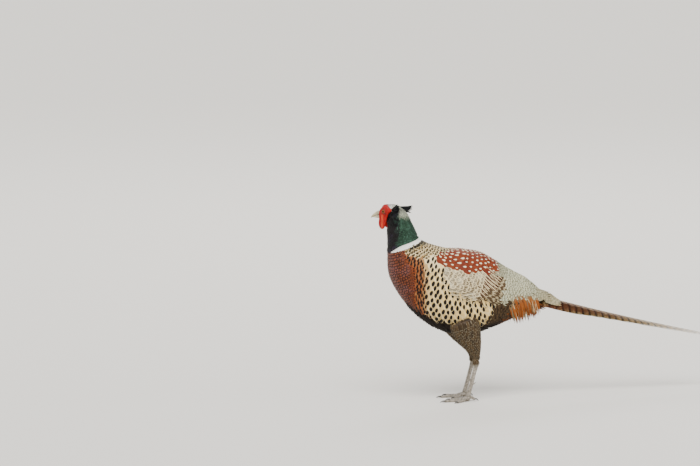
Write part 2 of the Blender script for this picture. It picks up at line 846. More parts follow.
class Feathers:
    """Gathers a piece's feathers: closed vanes with their coordinates and traits."""

    def __init__(self, name, seed):
        self.name = name
        self.draw = np.random.default_rng(seed + sum(map(ord, name)))
        self.parts = []

    def random(self, count):
        return self.draw.random(count)

    def rows(self, start, end, step, arc, spacing, keep=None, jitter=0.1):
        """Tips of staggered feathers: section, angle and step of sections.

        The step is in millimetres along the middle of the arc, the spacing in millimetres across."""
        middle = sum(arc) / 2
        found = []
        t, ring = start, 0
        while t <= end:
            ahead = np.linalg.norm(on_trunk(t + 0.05, middle) - on_trunk(t - 0.05, middle)) * 10
            advance = step / ahead
            angles = np.linspace(*arc, 60)
            path = on_trunk(np.full(60, t), angles)
            length = np.concatenate([[0], np.cumsum(np.linalg.norm(np.diff(path, axis=0), axis=1))])
            count = max(2, round(length[-1] / spacing))
            places = (np.arange(count) + 0.25 + 0.5 * (ring % 2)) * length[-1] / count
            places = places + self.draw.normal(0, jitter * spacing, count)
            angle = np.interp(places, length, angles)
            section = t + self.draw.normal(0, jitter * advance, count)
            found.append(np.stack([section, angle, np.full(count, advance)], -1))
            t, ring = t + advance, ring + 1
        found = np.concatenate(found)
        if keep is not None:
            found = found[keep(found[:, 0], from_spine(found[:, 1]))]
        return found

    def lay(self, tips, half, overlap=2.4, profile=ROUND, low=-1.6, high=0.7, blend=0.5, **form):
        """Feathers that lie along the trunk, each from its hidden root to its tip."""
        shares = np.array(profile[0])
        drift = form.pop("drift", 0.0)  # degrees that the tip lies further round than the root
        lift = form.pop("lift", 0.0)
        roll = form.pop("roll", 3.0)
        size = form.pop("size", 0.003)
        draw = self.draw
        length = tips[:, 2:3] * overlap * (1 + 0.08 * draw.standard_normal((len(tips), 1)))
        t = tips[:, :1] - length * (1 - shares)
        a = tips[:, 1:2] + np.reshape(drift, (-1, 1)) * (shares - 1)
        level = low + (high - low) * shares + lift * shares**3
        level = level + draw.normal(0, 0.16, (len(tips), 1)) * shares
        line, across, out = trunk_frame(t, a, cover(t, a) + level)
        turn = np.radians(draw.normal(0, roll, (len(tips), 1, 1)))
        across, out = across * np.cos(turn) + out * np.sin(turn), out * np.cos(turn) - across * np.sin(turn)
        patch = np.stack([tips[:, 1] / 360, tips[:, 0] / LAST], -1)
        self.add(line, across, out, half, profile, blend, patch, size, **form)

    def add(self, line, across, out, half, profile, blend, patch, size=0.003, **form):
        """line, across and out are feather by station by 3, in millimetres; half is a width each.

        patch is each feather's place on the baked picture, and size its part of the picture."""
        count, steps = line.shape[:2]
        thick = form.get("thick", 0.3)
        camber = form.get("camber", 0.16)
        ragged = form.get("ragged", 0.05)
        shares, widths = np.array(profile[0], float), np.array(profile[1], float)
        half = np.broadcast_to(half, (count,))[:, None, None]
        rough = 1 + ragged * self.draw.standard_normal((count, steps, 6)) * (np.abs(RING) > 0.9)
        reach = RING * rough * widths[None, :, None] * half
        rise = -camber * np.abs(RING) ** 1.5 * widths[None, :, None] * half
        rise = rise + thick * BODY_RISE * np.clip(widths * 2, 0.3, 1)[None, :, None]
        points = line[:, :, None] + across[:, :, None] * reach[..., None] + out[:, :, None] * rise[..., None]
        vane = np.stack(
            np.broadcast_arrays(0.5 + 0.5 * RING * widths[None, :, None], shares[None, :, None]), -1
        )
        vane = np.broadcast_to(vane, (count, steps, 6, 2))
        island = np.stack(np.broadcast_arrays(0.5 * RING, (shares - 0.5)[:, None]), -1) * size
        bake = np.mod(patch, 1)[:, None, None] * (1 - size) + size / 2 + island[None]
        hue = np.broadcast_to(form["hue"], (count, 3))
        own = np.column_stack([self.draw.random(count), np.broadcast_to(blend, (count,)), hue])
        traits = np.broadcast_to(own[:, None, None], (count, steps, 6, 5))
        self.parts.append((points, vane, bake, traits))
        HUES.append((line[:, -2], hue))

    def build(self, finish, slot, *nodes):
        """The piece's object, which stands for the CAD nodes named."""
        columns = ([], [], [], [])
        faces, rails = [], []
        first = 0
        for part in self.parts:
            count, steps = part[0].shape[:2]
            for column, values in zip(columns, part):
                column.append(values.reshape(-1, values.shape[-1]))
            starts = first + np.arange(count)[:, None] * steps * 6
            ring, turn = np.meshgrid(np.arange(steps - 1) * 6, np.arange(6), indexing="ij")
            after = (turn + 1) % 6
            quads = [ring + turn, ring + after, ring + 6 + after, ring + 6 + turn]
            quads = np.stack(quads, -1).reshape(-1, 4)
            end = (steps - 1) * 6
            caps = [(5, 2, 1, 0), (4, 3, 2, 5), (end, end + 1, end + 2, end + 5)]
            caps.append((end + 2, end + 3, end + 4, end + 5))
            faces.append((starts[:, :, None] + np.vstack([quads, caps])[None]).reshape(-1, 4))
            rails.append(np.tile(np.arange(6), count * steps))
            first += count * steps * 6
        points, vane, bake, traits = (np.concatenate(column) for column in columns)
        mesh = mesh_of(self.name, points, np.concatenate(faces))
        corners = np.empty(len(mesh.loops), np.int32)
        mesh.loops.foreach_get("vertex_index", corners)
        for title, values in (("OFBake", bake), ("Vane", vane)):
            layer = mesh.uv_layers.new(name=title)
            layer.data.foreach_set("uv", values[corners].astype(np.float32).ravel())
        add_trait(mesh, "seed", traits[:, 0])
        add_trait(mesh, "blend", traits[:, 1])
        add_hue(mesh, traits[:, 2:5])
        ends = np.empty(len(mesh.edges) * 2, np.int32)
        mesh.edges.foreach_get("vertices", ends)
        ring = np.concatenate(rails)[ends.reshape(-1, 2)]
        sharp = (ring[:, 0] == ring[:, 1]) & np.isin(ring[:, 0], RAILS)
        layer = mesh.attributes.new("sharp_edge", "BOOLEAN", "EDGE")
        layer.data.foreach_set("value", sharp)
        place_piece(mesh, finish, slot, *nodes)


class PHEASANT_OT_skin(Operator):
    """Joins the head, neck, trunk and thighs into one skin inside the coat"""

    bl_idname = "pheasant.skin"
    bl_label = "Skin"

    def execute(self, context):
        sizes = context.scene.pheasant_sizes
        skin = copy_nodes("skin", *FLESH)
        remesh(skin, sizes.skin_voxel, 8, sizes.coat_depth)
        finish = Finish("skin", 0.8)
        finish.paint(finish.mix(0.35, finish.hue(), SKIN_SHADE))
        finish.bump(finish.noise(900.0, 3.0), 0.0004)
        settle(skin, finish, "body_plumage", *FLESH)
        points = vertices_of(skin.data) / MM
        faces = [p.vertices[:] for p in skin.data.polygons]
        SURFACE["skin"] = BVHTree.FromPolygons([Vector(p) for p in points], faces)
        return {"FINISHED"}


class PHEASANT_OT_tint_skin(Operator):
    """Gives the skin the ground colours of the feathers that grow on it"""

    bl_idname = "pheasant.tint_skin"
    bl_label = "Skin colours"

    def execute(self, context):
        places, hues = (np.concatenate(column) for column in zip(*HUES))
        tree = KDTree(len(places))
        for i, place in enumerate(places):
            tree.insert(place, i)
        tree.balance()
        mesh = bpy.data.objects["skin"].data
        add_hue(mesh, hues[[tree.find(p)[1] for p in vertices_of(mesh) / MM]])
        return {"FINISHED"}


# Head and neck


def head_hues(colours, local, angle):
    """Ground colours of the head and upper neck by place on them."""
    x, y, z = local.T
    rear = smooth((x - 30) / 10)
    crown = smooth((z + 0.45 * (x - 8) - 1 + 9 * rear) / (6 + 8 * rear))
    throat = smooth((np.abs(angle) - 112 - 8 * smooth((x - 36) / 4)) / 22)
    cheek = smooth((42 - x) / 6) * smooth((z + 46) / 14)
    edge = 19 + 0.55 * np.maximum(z, 0)
    band = smooth((x - edge) / 3) * smooth((39 - 0.35 * np.maximum(z + 4, 0) - x) / 4)
    band = band * smooth((13 - z) / 3) * smooth((np.abs(y) - 3) / 2)
    hue = mix(mix(colours.neck, colours.throat, throat), colours.cheek, cheek)
    return mix(hue, mix(colours.crown, colours.collar, smooth((26 - x) / 8)), crown * (1 - band))


class PHEASANT_OT_head_coat(Operator):
    """Covers the head round the bare face with its smallest feathers"""

    bl_idname = "pheasant.head_coat"
    bl_label = "Head feathers"

    def execute(self, context):
        sizes, colours = choices(context.scene)
        feathers = Feathers("head_feathers", sizes.seed)
        face = wattle_edge(np.linspace(0, 1, 60, endpoint=False)) * 0.9

        def spacing(points):
            local = to_head(points)
            return sizes.face_spacing / MM * (1 + 0.65 * smooth((local[:, 0] + 5) / 30))

        def keep(points):
            local = to_head(points)
            bare = inside(face, local[:, [0, 2]]) & (np.abs(local[:, 1]) > 5)
            return ~bare & (local[:, 0] > -19.5)

        def heading(points):
            local = to_head(points)
            down = np.maximum(smooth((-local[:, 2] - 4) / 18), smooth((local[:, 0] - 24) / 14))
            back = np.array((1, 0, -0.22)) @ HEAD_AXES.T
            return unit(mix(back, (0.06, 0, -1), down))

        roots = scatter("head", spacing, feathers.draw, keep)
        gap = spacing(roots)
        line, across, out = walk(roots, heading, 3.0 * gap, np.array(SMALL[0]), 0.2, 1.9)
        local, angle = to_head(line[:, 2]), neck_angle(line[:, 2])
        local = local + feathers.draw.normal(0, 0.8, local.shape)
        hues = head_hues(colours, local, angle)
        light = smooth((local[:, 2] + 0.45 * (local[:, 0] - 8) + 2) / 10)
        patch = np.stack([angle / 360, (roots[:, 2] - 350) / 75], -1)
        gloss = 0.75 * (1 - light) * smooth((local[:, 0] - 22) / 16) + 0.06
        feathers.add(line, across, out, 0.66 * gap, SMALL, gloss, patch, hue=hues, thick=0.2)
        feathers.build(gloss_finish("head_plumage", colours), "green_plumage", "head")
        return {"FINISHED"}


class PHEASANT_OT_neck_coat(Operator):
    """Covers the neck with glossy feathers and the collar with white ones"""

    bl_idname = "pheasant.neck_coat"
    bl_label = "Neck and collar feathers"

    def execute(self, context):
        sizes, colours = choices(context.scene)
        neck = Feathers("neck_feathers", sizes.seed)
        tips = neck.rows(3.0, 5.0, step=3.1, arc=(-180, 180), spacing=3.3)
        tips = tips[tips[:, 0] < collar_top(tips[:, 1]) + 0.04]
        t, a = tips[:, 0], tips[:, 1]
        turn = a * (1.14 - 0.16 * smooth((t - 3.4) / 1.2)) + neck.draw.normal(0, 5, len(tips))
        hues = head_hues(colours, to_head(on_trunk(t, a)) * (1, 1, 0) + (20, 0, -40), turn)
        gloss = 0.9 * smooth((150 - np.abs(a)) / 40) + 0.1
        neck.lay(tips, 2.5, 3.0, SMALL, -1.5, 0.5, gloss, hue=hues, thick=0.2)
        ring = np.arange(-180, 180, 2.6)
        tips = np.stack([collar_top(ring) + 0.08, ring, np.full(len(ring), 0.075)], -1)
        hues = head_hues(colours, tips * 0 + (40, 9, -50), ring)
        gloss = 0.9 * smooth((150 - np.abs(ring)) / 40)
        neck.lay(tips, 1.9, 3.4, SMALL, -1.0, 1.6, gloss, hue=hues, thick=0.2)
        neck.build(gloss_finish("neck_plumage", colours), "neck_plumage", "neck")

        collar = Feathers("collar_feathers", sizes.seed)
        tips = collar.rows(4.3, 5.06, step=2.6, arc=(-180, 180), spacing=3.1)
        tips = tips[(tips[:, 0] > collar_top(tips[:, 1]) + 0.13) & (np.abs(tips[:, 1]) < 166)]
        collar.lay(tips, 2.5, 2.8, SMALL, -0.9, 1.1, hue=colours.collar, thick=0.25)
        finish = Finish("collar_plumage", 0.7)
        vane = Vane(finish)
        barbs = vane.barbs(16.0)
        finish.paint(finish.mix(barbs * 0.16 + vane.seed * 0.06, finish.hue(), COLLAR_SHADE))
        finish.bump(barbs, 0.00012)
        collar.build(finish, "white_plumage", "collar")
        return {"FINISHED"}


# Trunk


class PHEASANT_OT_mantle(Operator):
    """Lays the gold mantle with its dark crescents and the back behind it"""

    bl_idname = "pheasant.mantle"
    bl_label = "Mantle feathers"

    def execute(self, context):
        sizes, colours = choices(context.scene)
        gap = sizes.body_spacing / MM * 1.3
        feathers = Feathers("mantle_feathers", sizes.seed)
        tips = feathers.rows(5.05, 7.3, step=gap * 0.86, arc=(-125, 125), spacing=gap, keep=self.lies)
        t, a = tips[:, 0], np.abs(tips[:, 1])
        nape = smooth((5.62 - t - a / 450) / 0.25) * smooth((112 - a) / 20)
        hue = mix(colours.gold, colours.cream, 0.45 * feathers.random(len(tips)))
        hue = mix(hue, colours.neck, 0.8 * nape)
        feathers.lay(tips, 0.72 * gap, 2.5, ROUND, -1.6, 0.8, 1 - 0.5 * nape, hue=hue)
        finish, vane, ground = marked_finish("mantle_plumage")
        patchy = finish.noise(150.0) + vane.seed * 0.3
        centre = vane.spot(0.7, 0.16, 0.3) * patchy.ramp(0.7, 0.5)
        border = vane.edge(0.85, 0.5) * (1 - vane.edge(0.2, 0.5)) * patchy.ramp(0.36, 0.52)
        ground = finish.mix(vane.edge(0.3) * 0.7, ground, colours.cream)
        ground = finish.mix(centre * 0.8, ground, colours.black)
        ground = finish.mix(border * 0.95, ground, colours.black)
        textured(finish, vane, finish.mix((1 - vane.blend) * 1.4, ground, colours.black))
        feathers.build(finish, "body_plumage")
        return {"FINISHED"}

    def lies(self, t, a):
        """Behind the collar and in front of the scapulars."""
        return (a < mantle_limit(t)) & (t < scapular_start(a) + 0.25)


class PHEASANT_OT_breast(Operator):
    """Lays the maroon breast with its dark feather edges"""

    bl_idname = "pheasant.breast"
    bl_label = "Breast feathers"

    def execute(self, context):
        sizes, colours = choices(context.scene)
        gap = sizes.body_spacing / MM * 1.08
        feathers = Feathers("breast_feathers", sizes.seed)
        tips = feathers.rows(5.05, 7.9, step=gap * 0.95, arc=(96, 264), spacing=gap, keep=self.lies)
        t, a = tips[:, 0], from_spine(tips[:, 1])
        low = smooth((t - 6.8) / 0.9)
        side = smooth((breast_limit(t) + 14 - a) / 14)
        front = 0.6 * smooth((a - 146) / 20) * smooth((7 - t) / 0.8)
        hue = mix(colours.breast, colours.copper, 0.25 * feathers.random(len(tips)))
        hue = mix(mix(hue, colours.belly, low), colours.copper, 0.6 * side)
        hue = mix(hue, BREAST_PINK, front)
        feathers.lay(tips, 0.72 * gap, 2.5, ROUND, -1.6, 0.8, side, hue=hue)
        finish, vane, ground = marked_finish("breast_plumage", 0.5)
        ground = finish.mix(finish.noise(45.0).ramp(0.42, 0.66) * 0.5, ground, BREAST_VIOLET)
        ground = finish.mix(vane.spot(0.8, 0.3, 0.12) * (vane.seed * 0.7 + 0.1), ground, colours.copper)
        ground = finish.mix(vane.edge(0.36) * 0.85, ground, colours.breast_edge)
        ground = finish.mix(vane.spot(0.78, 0.34, 0.2) * vane.blend, ground, colours.black)
        textured(finish, vane, finish.mix(vane.edge(0.2) * vane.blend, ground, colours.copper))
        feathers.build(finish, "body_plumage", "torso")
        return {"FINISHED"}

    def lies(self, t, a):
        return (a >= breast_limit(t)) & (a < belly_limit(t))


class PHEASANT_OT_flanks(Operator):
    """Lays the buff flanks with one black spot at each feather's tip"""

    bl_idname = "pheasant.flanks"
    bl_label = "Flank feathers"

    def execute(self, context):
        sizes, colours = choices(context.scene)
        finish, vane, ground = marked_finish("flank_plumage", 0.55)
        ground = finish.mix(vane.edge(0.4) * (0.55 - vane.blend * 0.5), ground, colours.cream)
        ground = finish.mix(vane.edge(0.5) * vane.blend * 0.8, ground, colours.copper)
        long_mark = vane.spot(0.68, 0.46, 0.34) * vane.blend
        ground = finish.mix(long_mark * 0.9, ground, colours.breast_edge)
        spot = vane.spot(0.82, 0.52 + 0.16 * vane.seed, 0.15, 0.16) * (1 - vane.seed.ramp(0.97, 0.98))
        textured(finish, vane, finish.mix(spot, ground, colours.black))
        for hand, side in SIDES.items():
            feathers = Feathers(f"flank_feathers_{hand}", sizes.seed + 4)
            # Small feathers next to the breast, and large ones behind them
            for gap, inner, outer in ((7.8, -1, 24), (12.0, 24, 200)):

                def keep(t, a):
                    away = breast_limit(t) - a
                    return self.lies(t, a) & (away >= inner) & (away < outer)

                arc = (side * 58, side * 168)
                tips = feathers.rows(5.5, 10.7, gap * 0.94, arc, gap, keep, jitter=0.11)
                self.plume(feathers, tips, gap, colours)
            feathers.build(finish, "body_plumage")
        return {"FINISHED"}

    def lies(self, t, a):
        """Between the mantle and breast in front and the wing behind."""
        behind = np.minimum(wing_front(t), 97)
        return (a > mantle_limit(t)) & (a > behind) & (a < breast_limit(t) + 2) & (a < belly_limit(t) + 4)

    def plume(self, feathers, tips, gap, colours):
        t, a = tips[:, 0], np.abs(tips[:, 1])
        near = smooth((a - breast_limit(t) + 36) / 26) * smooth((8.4 - t) / 0.8)
        pale = smooth((92 - a) / 18) * smooth((7.3 - t) / 0.8)
        low = smooth((a - belly_limit(t) + 12) / 16)
        hue = mix(mix(colours.flank, colours.cream, 0.8 * pale), colours.copper, 0.75 * near)
        hue = mix(hue, colours.belly, 0.6 * low)
        form = {"hue": hue, "ragged": 0.04, "size": 0.005, "drift": 11.0 * np.sign(tips[:, 1])}
        feathers.lay(tips, 0.7 * gap, 2.2, ROUND, -1.2, 1.7, near, **form)


class PHEASANT_OT_belly(Operator):
    """Lays the dark soft feathers of the belly and the rear flanks"""

    bl_idname = "pheasant.belly"
    bl_label = "Belly feathers"

    def execute(self, context):
        sizes, colours = choices(context.scene)
        feathers = Feathers("belly_feathers", sizes.seed)
        tips = feathers.rows(7.1, 13.4, step=8.0, arc=(92, 268), spacing=8.6, keep=self.lies)
        t, a = tips[:, 0], from_spine(tips[:, 1])
        side = smooth((146 - a) / 22) * smooth((t - 8.0) / 0.8) * smooth((12.6 - t) / 1.2)
        hue = mix(colours.belly, colours.flight, 0.85 * side)
        feathers.lay(tips, 6.6, 2.6, LANCE, -1.6, 1.4, side, hue=hue, lift=1.6, ragged=0.1, roll=7.0)
        finish, vane, ground = marked_finish("belly_plumage", 0.8)
        dark = vane.bars(2.6, 0.3) * vane.blend * 0.7
        textured(finish, vane, finish.mix(dark, ground, colours.belly), 18.0, 0.3)
        feathers.build(finish, "body_plumage")
        return {"FINISHED"}

    def lies(self, t, a):
        """On the belly, and at the rear also on the sides."""
        return (a >= belly_limit(t)) | ((t > 10.4) & (a > 97 - 8 * np.maximum(0, t - 11)))


# Wings, scapulars and rump


class PHEASANT_OT_scapulars(Operator):
    """Drapes the chestnut scapulars with their cream drops over the back and the wings' tops"""

    bl_idname = "pheasant.scapulars"
    bl_label = "Scapular feathers"

    def execute(self, context):
        sizes, colours = choices(context.scene)
        finish, vane, ground = marked_finish("scapular_plumage", 0.55)
        ground = finish.mix(vane.drop(0.79, 0.5, 0.2) * vane.blend * 0.6, ground, colours.breast_edge)
        drop = vane.drop(0.8, vane.seed * 0.16 + 0.26, vane.seed * 0.05 + 0.09)
        ground = finish.mix(drop * vane.blend.ramp(0.3, 0.6), ground, DROP_CREAM)
        textured(finish, vane, finish.mix(vane.edge(0.16) * 0.35, ground, colours.copper))
        for hand, side in SIDES.items():
            feathers = Feathers(f"scapulars_coat_{hand}", sizes.seed - 4)
            arc = (side * 4, side * 63)
            tips = feathers.rows(6.2, 10.25, step=10.2, arc=arc, spacing=10.8, keep=self.lies)
            t, a = tips[:, 0], np.abs(tips[:, 1])
            hue = mix(colours.chestnut, colours.copper, 0.35 * feathers.random(len(tips)))
            spine = smooth((16 - a) / 10) * smooth((t - 8.4) / 1.2)
            hue = mix(hue, colours.rump, 0.95 * spine)
            feathers.lay(tips, 7.6, 2.2, ROUND, -1.4, 1.3, 1 - spine, hue=hue, lift=0.2, size=0.005)
            if side < 0:
                self.cover_spine(feathers, colours)
            feathers.build(finish, "scapular_plumage", f"scapulars_{hand}")
        return {"FINISHED"}

    def lies(self, t, a):
        return (t > scapular_start(a)) & (a < scapular_limit(t))

    def cover_spine(self, feathers, colours):
        """Lays one row along the spine, between the two sides."""
        t = np.arange(7.1, 10.2, 0.16)
        tips = np.stack([t, feathers.draw.normal(0, 1.5, len(t)), np.full(len(t), 0.25)], -1)
        spine = smooth((t - 8.4) / 1.2)
        hue = mix(colours.chestnut, colours.rump, 0.95 * spine)
        feathers.lay(tips, 6.5, 2.2, ROUND, -1.2, 1.5, 1 - spine, hue=hue, size=0.005)


class PHEASANT_OT_wings(Operator):
    """Folds the wings: pale coverts, streaked greater coverts and barred flight feathers"""

    bl_idname = "pheasant.wings"
    bl_label = "Wing feathers"

    def execute(self, context):
        sizes, colours = choices(context.scene)
        cream, flight = colours.cream, colours.flight
        soft, vane, ground = marked_finish("covert_plumage", 0.75)
        streak = (vane.v * 4.0 - vane.side * 1.5 + soft.noise(110.0) * 2.2 + vane.seed).math("FRACT")
        ground = soft.mix(streak.ramp(0.5, 0.8) * 0.6, ground, flight)
        ground = soft.mix(soft.noise(60.0, 3.0).ramp(0.46, 0.58) * 0.8, ground, flight)
        ground = soft.mix(soft.noise(26.0).ramp(0.48, 0.6) * 0.45, ground, flight)
        ground = soft.mix(vane.edge(0.34) * 0.75, ground, cream)
        ground = soft.mix(vane.spot(0.62, 0.4, 0.16) * (vane.seed > 0.72) * 0.7, ground, flight)
        ground = soft.mix(vane.edge(0.22) * vane.blend * 0.7, ground, colours.maroon)
        textured(soft, vane, soft.mix(vane.shaft(0.1) * 0.5, ground, cream), 18.0, 0.25)

        streaked, vane, ground = marked_finish("streaked_plumage", 0.6)
        reach = vane.side + vane.v**6 * 0.4 + streaked.noise(160.0) * 0.08
        ground = streaked.mix(reach.ramp(0.38, 0.46), ground, colours.black)
        ground = streaked.mix(reach.ramp(0.5, 0.62), ground, colours.maroon)
        ground = streaked.mix(reach.ramp(0.9, 1.0) * 0.6, ground, colours.covert)
        textured(streaked, vane, ground, 26.0, 0.2)

        barred, vane, ground = marked_finish("flight_plumage", 0.6)
        ground = barred.mix(vane.bars(6.0, 0.3, 0.2, 0.5) * 0.4, ground, cream)
        textured(barred, vane, barred.mix(vane.shaft(0.07), ground, colours.black), 40.0, 0.2)

        for hand, side in SIDES.items():
            seed = sizes.seed - 2
            coverts = Feathers(f"wing_coverts_{hand}", seed)
            arc = (side * 50, side * 100)
            tips = coverts.rows(7.3, 9.35, 7.4, arc, 7.6, self.lies, jitter=0.12)
            hue = mix(colours.covert, cream, 0.3 * coverts.random(len(tips)))
            high = 0.8 - 1.8 * smooth((scapular_limit(tips[:, :1]) + 7 - np.abs(tips[:, 1:2])) / 8)
            coverts.lay(tips, 5.6, 2.5, ROUND, -1.8, high, 0.2, hue=hue, ragged=0.1)
            coverts.build(soft, "wing_plumage", f"wing_{hand}")

            greater = Feathers(f"wing_streaks_{hand}", seed)
            self.row(greater, side, 12, (51, 97), (9.9, 9.6), 1.25, 2.7, cream, 0.6)
            self.row(greater, side, 9, (48, 82), (10.35, 10.2), 1.6, 3.0, cream, -0.3)
            greater.build(streaked, "wing_plumage")

            flights = Feathers(f"wing_flights_{hand}", seed)
            self.row(flights, side, 8, (52, 96), (10.85, 10.7), 2.0, 6.4, flight, -0.6)
            self.row(flights, side, 7, (64, 98), (11.25, 10.95), 2.6, 5.4, flight, -1.2)
            self.row(flights, side, 9, (80, 103), (10.6, 9.9), 3.0, 4.2, flight, 0.2)
            flights.build(barred, "wing_plumage")
        return {"FINISHED"}

    def lies(self, t, a):
        return (a > scapular_limit(t) - 10) & (a < 10 + wing_front(t))

    def row(self, feathers, side, count, arc, ends, sections, half, hue, high):
        """One row across the wing, with its tips between two sections and a length in sections."""
        t = np.linspace(*ends, count) + feathers.draw.normal(0, 0.03, count)
        angle = side * np.linspace(*arc, count)
        tips = np.stack([t, angle, np.full(count, sections)], -1)
        form = {"low": high - 1.6, "high": high, "hue": hue, "camber": 0.12}
        form["drift"] = side * (16.0 if half < 4 else 5.0)
        feathers.lay(tips, half, 1.0, FLIGHT, roll=1.5, thick=0.4, size=0.012, **form)


class PHEASANT_OT_rump(Operator):
    """Lays the grey hairlike rump over the tail's root, with the rufous tufts at its sides"""

    bl_idname = "pheasant.rump"
    bl_label = "Rump feathers"

    def execute(self, context):
        sizes, colours = choices(context.scene)
        feathers = Feathers("rump_coat", sizes.seed)
        tips = feathers.rows(9.5, 15.0, 5.8, (-100, 100), 5.2, self.lies, jitter=0.16)
        t = tips[:, 0]
        rear = smooth((t - 11.4) / 1.2)[:, None]
        warm = smooth((t - 13.0) / 1.6) * 0.5
        hue = mix(colours.rump, colours.cream, 0.25 * feathers.random(len(tips)))
        hue = mix(mix(hue, colours.tail, warm), colours.flight, 0.45 * smooth((11.2 - t) / 1.2))
        low, high = -1.5 + 1.6 * rear, 0.9 + 1.9 * rear
        feathers.lay(tips, 3.6, 3.4, LANCE, low, high, 1 - warm, hue=hue, ragged=0.16, roll=8)

        # The last rows lie closer to the spine, where the tail's root is flat.
        tips = feathers.rows(15.1, 15.8, 4.6, (-98, 98), 4.4, jitter=0.16)
        high = 1 - 7.5 * np.cos(np.radians(tips[:, 1:2])).clip(0)
        hue = mix(colours.rump, colours.gold, 0.4 * feathers.random(len(tips)))
        hue = mix(hue, colours.tail, 0.35)
        feathers.lay(tips, 2.6, 5.2, LANCE, 0.6, high, 0.4, hue=hue, ragged=0.16, roll=6)
        finish, vane, ground = marked_finish("rump_plumage", 0.75)
        bars = vane.bars(3.2, 0.26, 0.4) * (0.6 + 0.35 * vane.blend)
        textured(finish, vane, finish.mix(bars, ground, colours.rump_bar), 16.0, 0.35)
        feathers.build(finish, "rump_plumage", "rump_feathers")

        tufts = Feathers("rump_tufts", sizes.seed + 2)
        for side in SIDES.values():
            self.hang(tufts, side, colours)
        finish, vane, ground = marked_finish("tuft_plumage", 0.6)
        pale = vane.side.ramp(0.42, 0.2) * (vane.seed > 0.9)
        ground = finish.mix(pale * 0.9, ground, colours.cream)
        ground = finish.mix(vane.seed.ramp(0.3, 0.1) * 0.55, ground, colours.maroon)
        ground = finish.mix(vane.v.ramp(0.56, 0.26) * 0.6, ground, colours.rump_bar)
        textured(finish, vane, finish.mix(vane.shaft(0.1) * 0.5, ground, colours.maroon), 14.0, 0.35)
        tufts.build(finish, "rump_plumage")
        return {"FINISHED"}

    def lies(self, t, a):
        """Behind the scapulars and the wing, with an uneven lower edge over the tufts."""
        edge = 17 + 4 * np.sin(11 * t) + 7 * np.sin(61 * t + a)
        above = (a < 100 - edge * ((t > 11.2) & (t < 13.6))) & (a < 204 - 8 * t)
        return above & (((a < 52) & (t > 10.1)) | (t > 10.9))

    def hang(self, tufts, side, colours):
        """Loose plumes that start on the rump and hang down at one side."""
        count, draw, share = 210, tufts.draw, np.array(LANCE[0])
        t = np.linspace(11.1, 13.1, count)[:, None] + draw.normal(0, 0.08, (count, 1))
        top = draw.uniform(66, 96, (count, 1))
        fall = draw.uniform(26, 50, (count, 1))
        rise = draw.uniform(-0.4, 0.5, (count, 1))
        drop = draw.uniform(4, 25, (count, 1))
        angle = side * (top + share * fall)
        height = rise + 3.2 * share
        place = t + share * 0.85
        line = on_trunk(place, angle, height)
        line[..., 2] -= drop * share**2.2
        out = unit(on_trunk(place, angle, height + 1) - on_trunk(place, angle, height))
        along = np.gradient(line, axis=1)
        across = unit(np.cross(along, out))
        out = unit(np.cross(across, along))
        hue = mix(colours.rufous, colours.copper, 0.6 * draw.random(count))
        hue = mix(hue, colours.rump_bar, 0.85 * (draw.random(count) > 0.86))
        patch = np.concatenate([side * top / 360, t / LAST], -1)
        tufts.add(line, across, out, 1.6, LANCE, 0.5, patch, hue=hue, ragged=0.1)


class PHEASANT_OT_vent(Operator):
    """Lays the dark feathers under the tail's root"""

    bl_idname = "pheasant.vent"
    bl_label = "Vent feathers"

    def execute(self, context):
        sizes, colours = choices(context.scene)
        feathers = Feathers("vent_coat", sizes.seed)
        tips = feathers.rows(11.6, 14.8, step=6.4, arc=(118, 242), spacing=5.6, jitter=0.15)
        hue = mix(colours.belly, colours.rufous, 0.55 * feathers.random(len(tips)))
        feathers.lay(tips, 4.0, 3.2, LANCE, -0.6, 2.4, hue=hue, ragged=0.12, roll=7)
        finish, vane, ground = marked_finish("vent_plumage", 0.8)
        textured(finish, vane, finish.mix(vane.bars(1.6, 0.3) * 0.6, ground, colours.black), 16.0, 0.35)
        feathers.build(finish, "vent_plumage", "vent_feathers")
        return {"FINISHED"}


# Tail


def tail_line(pair, side, shares):
    """The shaft of a tail feather, the direction out from it, and half its width."""
    first = pair == 0
    over = first and side > 0  # the middle feather that lies on top
    run = TAIL_LENGTH * TAIL_PAIRS[pair] * (0.985 if over else 1) * shares
    splay = math.radians(0.3 if first else 0.7 + 0.8 * pair) * side
    roll = math.radians(0 if first else 1.5 + 1.8 * pair)
    x, z = spline(TRUNK, np.array([TAIL_ROOT]))[0, :2]
    root = np.array((x, side * (3 + 1.1 * pair), z + 7 - 1.9 * pair + (1.8 if over else 0)))
    slope = np.radians(16.5 - 4 * run / TAIL_LENGTH / 2)
    line = np.stack([np.cos(slope) * run, np.sin(splay) * run, -np.sin(slope) * run], -1) + root + SHIFT
    along = unit(np.gradient(line, axis=0))
    level = unit(np.array((0.0, side, 0.0)) - along * side * along[:, 1:2])
    up = np.cross(along, level)
    up = up * np.sign(up[:, 2:3])
    half = 14 - 0.4 * pair
    if not first:
        line = line + (level * math.cos(roll) - up * math.sin(roll)) * 2.5
        half = half - 2.5
    return line, up * math.cos(roll) + level * math.sin(roll), half


